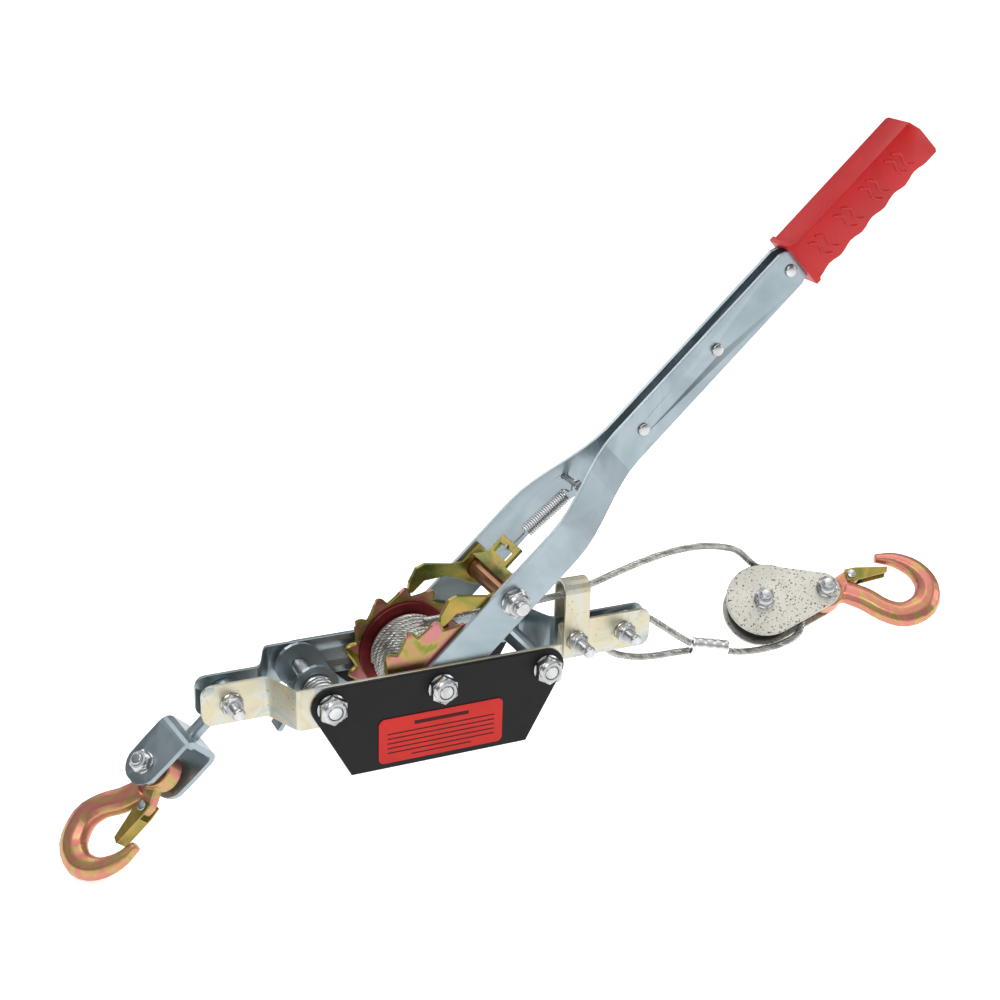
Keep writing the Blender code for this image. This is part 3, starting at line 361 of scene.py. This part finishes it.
# ---- CAD nodes kept in shape, with rolled edges --------------------------------------------------
def refined(node, material, edge_mm=0.5, segments=2):
    """A copy of a CAD node with welded faces and small rounded edges."""
    bm = bmesh.new()
    bm.from_mesh(frame["nodes"][node].data)
    bmesh.ops.remove_doubles(bm, verts=bm.verts, dist=0.00002)
    bmesh.ops.recalc_face_normals(bm, faces=bm.faces)
    mesh = bpy.data.meshes.new(node + "_fine")
    bm.to_mesh(mesh)
    bm.free()
    mesh.shade_smooth()
    mesh.set_sharp_from_angle(angle=SHARP)
    mesh.materials.append(material)
    obj = bpy.data.objects.new(node + "_fine", mesh)
    bpy.context.collection.objects.link(obj)
    if edge_mm:
        bevel = obj.modifiers.new("Rolled edges", 'BEVEL')
        bevel.width = edge_mm * MM
        bevel.segments = segments
        bevel.limit_method = 'ANGLE'
        bevel.angle_limit = radians(38)
    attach(obj, BODY_OF[node])
    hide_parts(node)
    return obj


def forged(node, material, voxel_mm=0.8, relax=3, swell_mm=0.25):
    """A copy of a CAD node melted into a forged shape, with no hard edge left."""
    obj = refined(node, material, 0)
    remesh = obj.modifiers.new("Forged skin", 'REMESH')
    remesh.mode = 'VOXEL'
    remesh.voxel_size = voxel_mm * MM
    remesh.use_smooth_shade = True
    relaxing = obj.modifiers.new("Relax", 'SMOOTH')
    relaxing.factor = 0.5
    relaxing.iterations = relax
    swell = obj.modifiers.new("Full section", 'DISPLACE')
    swell.strength = swell_mm * MM
    swell.mid_level = 0.0
    return obj


# ---- fasteners -----------------------------------------------------------------------------------
def thread(name, place, low, high, radius, pitch, body):
    """The rolled thread on a bolt's end: a helical ridge over the plain shank, along local Y."""
    bm = bmesh.new()
    line = helix(radius - 0.02, low, high, (high - low) / pitch, 20)
    sweep(bm, line, pitch * 0.30, 6)
    finish_object(name, bm, place, MATERIALS["bright_steel"], body)


def nut_trim(name, place, face, height, size, body):
    """A locking nut's flange ring and its nylon ring, along local Y."""
    away = 1 if height > 0 else -1
    outer = size.flats / 2
    rings = [(face + away * 0.05, size.shank_r + 0.6), (face + away * 0.05, outer * 1.10),
             (face + away * 0.6, outer * 1.12), (face + away * 1.2, outer * 1.02),
             (face + away * 1.2, size.shank_r + 0.6)]
    flange = lathe(bmesh.new(), rings, 36)
    finish_object(name + "_flange", flange, place, MATERIALS["bright_steel"], body)
    top = face + height
    rings = [(top - away * 0.9, size.shank_r + 0.1), (top - away * 0.9, size.shank_r + 1.5),
             (top + away * 0.15, size.shank_r + 1.3), (top + away * 0.3, size.shank_r + 0.1)]
    ring = lathe(bmesh.new(), rings, 36)
    finish_object(name + "_ring", ring, place, MATERIALS["nylon"], body)


def dress_fastener(name, place, seat, end, size, body):
    """Thread and nut trim on one bolt whose nut sits at seat and whose point is at end."""
    away = 1 if end > seat else -1
    nut_trim(name, place, seat, away * size.nut_height, size, body)
    first = seat + away * (size.nut_height + 0.6)
    last = end - away * 1.2
    if (last - first) * away < 2 * size.pitch:
        return
    low, high = sorted((first, last))
    thread(name + "_thread", place, low, high, size.shank_r, size.pitch, body)


def along_x(place, distance):
    return place @ Matrix.Translation(Vector((distance, 0, 0)) * MM)


def make_fasteners():
    world = world_place()
    spacing = FRAME_BOLT_SPACING
    for name, x in (("left", -spacing), ("axle", 0.0), ("right", spacing)):
        dress_fastener("frame_" + name, along_x(world, x), -37.9, -46.3, M10, "frame")
    for name, x, seat, end in (("shank", -131.0, -9.1, -27.0), ("clip", 112.0, -8.8, -30.0),
                               ("eye", 150.0, -6.7, -25.0)):
        dress_fastener(name, along_x(world, x), seat, end, M8, "frame")
    dress_fastener("pawl", along_x(lever_place(), PAWL_BOLT), -32.8, -46.3, M10, "lever")
    flip = Matrix.Rotation(-pi / 2, 4, 'X')
    for name, x in (("sheave", 0.0), ("block_hook", BLOCK_BOLT)):
        dress_fastener(name, along_x(BLOCK_PLACE, x) @ flip, -11.3, -22.3, M8, "block")
    clevis = ANCHOR_PLACE @ Matrix.Rotation(pi / 2, 4, 'X')
    dress_fastener("clevis", clevis, 17.3, 26.3, M8, "clevis")


# ---- wire rope -----------------------------------------------------------------------------------
RUN_TO_BLOCK = (
    (2.0, 0.0, 30.0), (30.0, 0.0, 30.2), (60.0, 0.0, 30.6), (88.0, 0.0, 31.2), (112.0, 0.0, 33.2),
    (133.0, 0.0, 38.6), (152.0, 0.0, 43.8), (171.5, 0.2, 48.2), (191.0, 0.8, 50.8),
    (213.5, 2.4, 50.2), (235.0, 6.0, 44.8), (250.0, 10.0, 37.6))
ROUND_BLOCK = (
    (4.0, 30.2), (17.2, 25.6), (25.6, 15.2), (29.4, 0.0), (26.4, -13.4), (19.5, -26.2), (4.5, -31.6))
RUN_TO_FERRULE = ((250.5, -28.4, -22.6), (239.5, -22.0, -25.4))
EYE_ROUTE = (
    (200.4, -14.0, -15.2), (192.5, -10.8, -10.2), (183.5, -6.0, -4.0), (173.0, -0.9, 3.0), (162.5, 0.0, 7.6),
    (151.0, 0.0, 9.4), (140.0, 0.0, 4.6), (136.4, 0.0, -6.5), (143.5, -0.4, -17.6), (158.0, -1.8, -23.6),
    (173.0, -5.4, -24.6), (187.0, -10.2, -22.4), (199.4, -13.9, -20.9))
FERRULE_AT = (214.5, -16.0, -20.2)
FERRULE_AXIS = (27.0, -4.0, -5.6)
FERRULE_LENGTH = 28.0


def make_rope():
    wire = MATERIALS["wire_rope"]
    world = world_place()
    along, across = BLOCK_PLACE.col[0].to_3d(), BLOCK_PLACE.col[1].to_3d()
    turn = [BLOCK_AT + along * u + across * v for u, v in ROUND_BLOCK]
    axis = Vector(FERRULE_AXIS).normalized()
    end = axis * (FERRULE_LENGTH / 2 + 1.6) + Vector(FERRULE_AT) + Vector((0, 0, -1.6))
    route = [Vector(p) for p in RUN_TO_BLOCK] + turn + [Vector(p) for p in RUN_TO_FERRULE] + [end]
    points = smooth_route(route, 1.5)
    strands = twisted_rope(bmesh.new(), points, ROPE_R)
    run = finish_object("rope_run_strands", strands, world, wire, "frame", ["rope_run"])
    loop = twisted_rope(bmesh.new(), smooth_route(EYE_ROUTE, 1.3), ROPE_R)
    eye = finish_object("rope_eye_strands", loop, world, wire, "frame", ["rope_eye"])
    ferrule = make_ferrule(axis)


def make_ferrule(axis):
    """A pressed oval sleeve with shallow die grooves."""
    half_depth, half_height = 4.6, 6.6
    stations, sides = 29, 32
    bm = bmesh.new()
    loops = []
    for i in range(stations):
        y = FERRULE_LENGTH * (i / (stations - 1) - 0.5)
        groove = 0.94 + 0.06 * abs(cos(pi * 4 * i / (stations - 1)))
        if i in (0, stations - 1):
            groove *= 0.9
        loops.append([bm.verts.new((half_depth * groove * cos(tau * k / sides), y,
                                    half_height * groove * sin(tau * k / sides))) for k in range(sides)])
    capped_skin(bm, loops)
    turn = axis.to_track_quat('Y', 'Z').to_matrix().to_4x4()
    place = world_place() @ Matrix.Translation(Vector(FERRULE_AT) * MM) @ turn
    return finish_object("ferrule_pressed", bm, place, MATERIALS["aluminium"], "frame",
                         ["ferrule"])


def make_winding():
    """The top layer of rope on the drum, wound side by side over a layer below it."""
    lowest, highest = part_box("rope_winding")
    start = (lowest.y - AXLE.y) / MM + ROPE_R + 0.3
    end = (highest.y - AXLE.y) / MM - ROPE_R - 0.3
    outer = (highest.x - lowest.x) / 2 / MM
    core_r, below_r = 12.0, outer - 3.2
    turns = (end - start) / (2 * ROPE_R + 0.1)
    line = helix(outer - ROPE_R, start, end, turns, 72)
    bm = twisted_rope(bmesh.new(), line, ROPE_R, lay=15.0, core=False)
    lathe(bm, [(start - ROPE_R, core_r), (start - ROPE_R, below_r), (end + ROPE_R, below_r),
               (end + ROPE_R, core_r)])
    finish_object("rope_winding_turns", bm, world_place(), MATERIALS["wire_rope"], "drum",
                  ["rope_winding"])


# ---- springs -------------------------------------------------------------------------------------
def make_pawl_spring():
    """A close-wound extension spring with a hook at each end, from the pin to the pawl's slotted tab."""
    pin = Vector(JOINTS["pawl_spring_swing"]["pos_m"])
    pivot = Vector(JOINTS["drive_pawl_lift"]["pos_m"])
    lever = lever_place().to_3x3()
    tail = pivot + lever @ (Vector(PAWL_SPRING_TAB) * MM)
    along = (tail - pin).normalized()
    side = Vector((0, 1, 0))
    place = axes_matrix(pin, along.cross(side) * -1, along, side)
    reach = (tail - pin).length / MM
    low, high = 9.5, 45.5
    coil_r, wire_r = 4.3, 0.68
    bm = sweep(bmesh.new(), helix(coil_r, low, high, 22, 18), wire_r, 7)
    first = ((coil_r, low, 0), (2.5, low - 1.6, 1.0), (0, low - 3.0, 0.2), (0, 4.2, 0), (2.7, 2.4, 0),
             (3.0, -0.8, 0), (0.6, -3.0, 0), (-2.2, -2.0, 0))
    last = ((coil_r, high, 0), (2.5, high + 1.2, -1.0), (0, high + 2.4, 0), (0, reach - 2.4, 0),
            (2.0, reach + 0.4, 0), (0.4, reach + 2.2, 0), (-1.6, reach + 1.0, 0))
    for hook in (first, last):
        sweep(bm, smooth_route(hook, 0.9), wire_r, 7)
    finish_object("pawl_spring_coil", bm, place, MATERIALS["bright_steel"], "pawl_spring",
                  ["pawl_spring"])


def make_stop_spring():
    """The torsion spring round the left frame bolt, with one leg to the pawl and one to the strap."""
    lowest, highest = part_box("stop_pawl_spring")
    coil_r, wire_r = 9.1, 1.2
    low, high = (lowest.y - AXLE.y) / MM + wire_r + 0.1, (highest.y - AXLE.y) / MM - wire_r - 0.1
    place = Matrix.Translation(Vector(JOINTS["stop_pawl_lift"]["pos_m"]))
    line = helix(coil_r, low, high, 5.5, 28)
    leg_in = [line[0] + Vector((-0.4, -0.1, -16.0)), line[0] + Vector((0.0, 0.0, -8.0))]
    leg_out = [line[-1] + Vector((-0.5, 0.1, -7.0)), line[-1] + Vector((-1.2, 0.2, -13.0))]
    bm = sweep(bmesh.new(), smooth_route(leg_in + line[::4] + leg_out, 1.8), wire_r, 9)
    finish_object("stop_pawl_coil", bm, place, MATERIALS["bright_steel"], "frame",
                  ["stop_pawl_spring"])


# ---- ratchet wheels ------------------------------------------------------------------------------
def tooth_point(k, lag, radius, y):
    angle = radians(TOOTH_PHASE - k * 360.0 / TEETH - lag)
    return Vector((radius * cos(angle), y, radius * sin(angle)))


def make_wheel_lips():
    """The rolled lip along every tooth of both wheels."""
    tooth = ((0.0, WHEEL_TIP_R - 0.5), (3.4, WHEEL_TIP_R - 2.2), (6.8, WHEEL_ROOT_R - 0.2),
             (12.0, WHEEL_ROOT_R + 0.1), (19.0, WHEEL_ROOT_R + 2.0), (24.0, WHEEL_TIP_R - 2.6))
    for suffix, middle in (("near", -WHEEL_MIDDLE), ("far", WHEEL_MIDDLE)):
        bm = bmesh.new()
        for k in range(TEETH):
            rail = [tooth_point(k, lag, radius, middle) for lag, radius in tooth]
            sweep(bm, smooth_route(rail, 1.4), 1.0, 8, flat=1.7)
        finish_object("wheel_lip_" + suffix, bm, world_place(), MATERIALS["olive"], "drum")


# ---- grip ----------------------------------------------------------------------------------------
WAVE_STEPS = (0.0, 0.14, 0.28, 0.42, 0.56, 0.70, 0.84, 1.0)
WAVE_ROWS, WAVE_PITCH, FIRST_WAVE, PAIR_GAP = 4, 25.0, 378.0, 7.0
GRIP_SIDE = 11.9


def make_grip():
    """The moulded grip with pairs of raised waves on both sides."""
    obj = refined("handle_grip", MATERIALS["red_plastic"], 1.4, 3)
    obj.modifiers["Rolled edges"].angle_limit = radians(48)
    bm = bmesh.new()
    for side in (-1, 1):
        for row in range(WAVE_ROWS):
            for offset in (0.0, PAIR_GAP):
                start = FIRST_WAVE + row * WAVE_PITCH + offset
                wave = [Vector((start + 2.4 * sin(tau * t) + 9.0 * t, side * GRIP_SIDE, 8.0 - 19.0 * t))
                        for t in WAVE_STEPS]
                sweep(bm, smooth_route(wave, 1.2), 1.0, 8)
    finish_object("grip_waves", bm, lever_place(), MATERIALS["red_plastic"], "lever")


# ---- label ---------------------------------------------------------------------------------------
def make_label():
    """The film with a plain pattern of bars, in metres, in place of lettering."""
    refined("label", MATERIALS["label_film"], 0.12, 1)
    lowest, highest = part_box("label")
    face = lowest.y - 0.00004
    bm = bmesh.new()

    def bar(x0, x1, z0, z1):
        corners = [bm.verts.new((x, face, z)) for x, z in ((x0, z0), (x1, z0), (x1, z1), (x0, z1))]
        back = [bm.verts.new((v.co.x, face + 0.00006, v.co.z)) for v in corners]
        bm.faces.new(corners)
        bm.faces.new(back[::-1])
        for i in range(4):
            bm.faces.new((corners[i], back[i], back[(i + 1) % 4], corners[(i + 1) % 4]))

    middle = (lowest.x + highest.x) / 2
    top = highest.z - 0.0045
    bar(middle - 0.019, middle + 0.019, top - 0.0026, top)
    for row in range(6):
        z = top - 0.0062 - row * 0.0034
        half = 0.0375 if row < 5 else 0.021
        bar(middle - half, middle + half, z - 0.0009, z)
    bmesh.ops.transform(bm, matrix=Matrix.Scale(1 / MM, 4), verts=bm.verts)
    finish_object("label_marks", bm, Matrix.Identity(4), MATERIALS["mark"], "frame",
                  smooth=False)


# ---- sheave --------------------------------------------------------------------------------------
def make_sheave():
    """A turned wheel with a round rope groove and a dished web."""
    half, rim, groove = 8.0, 24.0, 19.0
    profile = [(-half, 4.3), (-half, 8.0), (-half + 2.2, 10.0), (-half + 2.2, 17.0), (-half, 19.0),
               (-half, rim - 0.6), (-half + 0.6, rim), (-half + 1.8, rim)]
    for k in range(9):
        angle = pi * k / 8
        profile.append((-5.6 * cos(angle), rim - (rim - groove) * sin(angle)))
    profile += [(half - 1.8, rim), (half - 0.6, rim), (half, rim - 0.6), (half, 19.0), (half - 2.2, 17.0),
                (half - 2.2, 10.0), (half, 8.0), (half, 4.3)]
    place = BLOCK_PLACE @ Matrix.Rotation(pi / 2, 4, 'X')
    turned = lathe(bmesh.new(), profile, 64)
    finish_object("sheave_turned", turned, place, MATERIALS["dark_steel"], "sheave", ["sheave"])


# ---- stage and light -----------------------------------------------------------------------------
def make_stage():
    bm = bmesh.new()
    bmesh.ops.create_grid(bm, x_segments=1, y_segments=1, size=15.0)
    mesh = bpy.data.meshes.new("floor")
    bm.to_mesh(mesh)
    bm.free()
    floor = bpy.data.objects.new("floor", mesh)
    bpy.context.collection.objects.link(floor)
    floor.location = (0, 0, -0.0006)
    material = bpy.data.materials.new("floor_white")
    material.use_nodes = True
    shader = material.node_tree.nodes["Principled BSDF"]
    shader.inputs["Base Color"].default_value = (0.93, 0.93, 0.93, 1)
    shader.inputs["Roughness"].default_value = 0.9
    shader.inputs["Specular IOR Level"].default_value = 0.1
    shader.inputs["Emission Color"].default_value = (1, 1, 1, 1)
    shader.inputs["Emission Strength"].default_value = 0.62
    mesh.materials.append(material)


LIGHTS = (("key", (-0.9, -1.3, 1.7), 0.15, 0.9, 10.5), ("top", (0.3, 0.2, 2.0), 0.15, 1.6, 13),
          ("right", (1.7, -0.9, 0.8), 0.2, 0.8, 6), ("back", (-0.4, 1.9, 1.2), 0.2, 1.0, 7))


def area_light(name, at, target, size, power):
    data = bpy.data.lights.new(name, 'AREA')
    data.size = size
    data.energy = power
    light = bpy.data.objects.new(name, data)
    bpy.context.collection.objects.link(light)
    light.location = at
    light.rotation_euler = (Vector(target) - Vector(at)).to_track_quat('-Z', 'Y').to_euler()


def make_light():
    bpy.context.scene.view_settings.view_transform = 'Standard'
    world = bpy.data.worlds.new("studio")
    bpy.context.scene.world = world
    world.use_nodes = True
    nodes, links = world.node_tree.nodes, world.node_tree.links
    coords = nodes.new("ShaderNodeTexCoord")
    split = nodes.new("ShaderNodeSeparateXYZ")
    links.new(coords.outputs["Generated"], split.inputs["Vector"])
    sky = [(0.0, (0.50, 0.51, 0.52)), (0.14, (0.10, 0.11, 0.12)), (0.40, (0.34, 0.36, 0.38)),
           (0.75, (0.9, 0.9, 0.9))]
    ramp = ramp_node(nodes, sky)
    links.new(split.outputs["Z"], ramp.inputs["Fac"])
    background = nodes["Background"]
    links.new(ramp.outputs["Color"], background.inputs["Color"])
    background.inputs["Strength"].default_value = 0.78
    for name, at, target_height, size, power in LIGHTS:
        area_light(name, at, (0, 0, target_height), size, power)


# ---- the whole winch -----------------------------------------------------------------------------
OWN_PIECES = {"rope_run", "rope_eye", "ferrule", "rope_winding", "pawl_spring", "stop_pawl_spring",
              "handle_grip", "label", "sheave"}
FORGED = {"anchor_hook": "hook", "load_hook": "hook", "swivel_shank": "zinc"}
OTHER_MATERIAL = {
    "handle_bar_near": "zinc", "handle_bar_far": "zinc", "side_strap_far": "zinc",
    "side_strap_near": "pale_zinc", "rope_clip": "pale_zinc", "drive_pawl_bush": "copper",
    "drive_pawl": "olive", "anchor_latch": "olive", "load_latch": "olive"}
SMALL_WORDS = ("bolt", "nut", "rivet", "pin", "bush")


def make_nodes():
    """Every CAD node that has no piece of its own: forged, or kept in shape with rolled edges."""
    for node in frame["nodes"]:
        if node in OWN_PIECES:
            continue
        if node in FORGED:
            forged(node, MATERIALS[FORGED[node]])
            continue
        material = MATERIALS[OTHER_MATERIAL.get(node, SLOT_OF[node])]
        small = any(word in node for word in SMALL_WORDS)
        refined(node, material, 0.3 if small else 0.55)


make_camera()
ANCHOR_PLACE = hook_place("anchor_hook_swing", "anchor_latch_swing")
BLOCK_AXES = hook_place("load_hook_swing", "load_latch_swing")
BLOCK_PLACE = Matrix.Translation(Vector(JOINTS["block_swing"]["pos_m"])) @ BLOCK_AXES.to_3x3().to_4x4()
MATERIALS = make_materials()
make_rope()
make_nodes()
make_fasteners()
make_winding()
make_pawl_spring()
make_stop_spring()
make_wheel_lips()
make_grip()
make_label()
make_sheave()
make_stage()
make_light()
